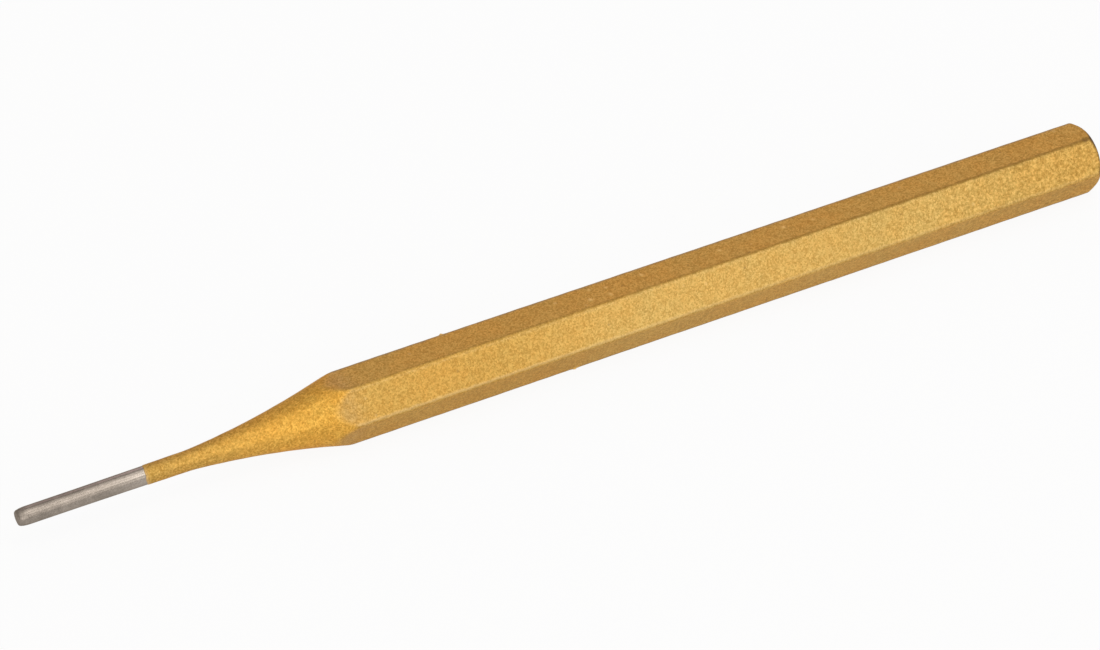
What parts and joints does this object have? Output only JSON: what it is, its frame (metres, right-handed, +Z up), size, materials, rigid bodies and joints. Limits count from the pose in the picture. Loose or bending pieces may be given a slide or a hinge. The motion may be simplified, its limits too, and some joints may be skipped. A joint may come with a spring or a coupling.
{
  "type": "pin punch",
  "caption": "Slim hexagonal steel pin punch with a concave flare down to a bare parallel pin, a bevelled crowned head and a gold lacquer coat; for driving pins out of their holes.",
  "frame": {"origin": "on the surface the punch lies on, under the middle of its overall length", "axes": "+X along the punch from the tip to the head, +Z up from the flat it lies on, +Y across the bar's corners"},
  "size_m": [0.15, 0.009, 0.0081],
  "materials": {
    "bare_steel": "ground, satin",
    "gold_lacquer": "gold lacquer with a fine grain, satin"
  },
  "bodies": {
    "root": {"steel_punch": "bare_steel", "lacquer_coat": "gold_lacquer"}
  },
  "joints": []
}
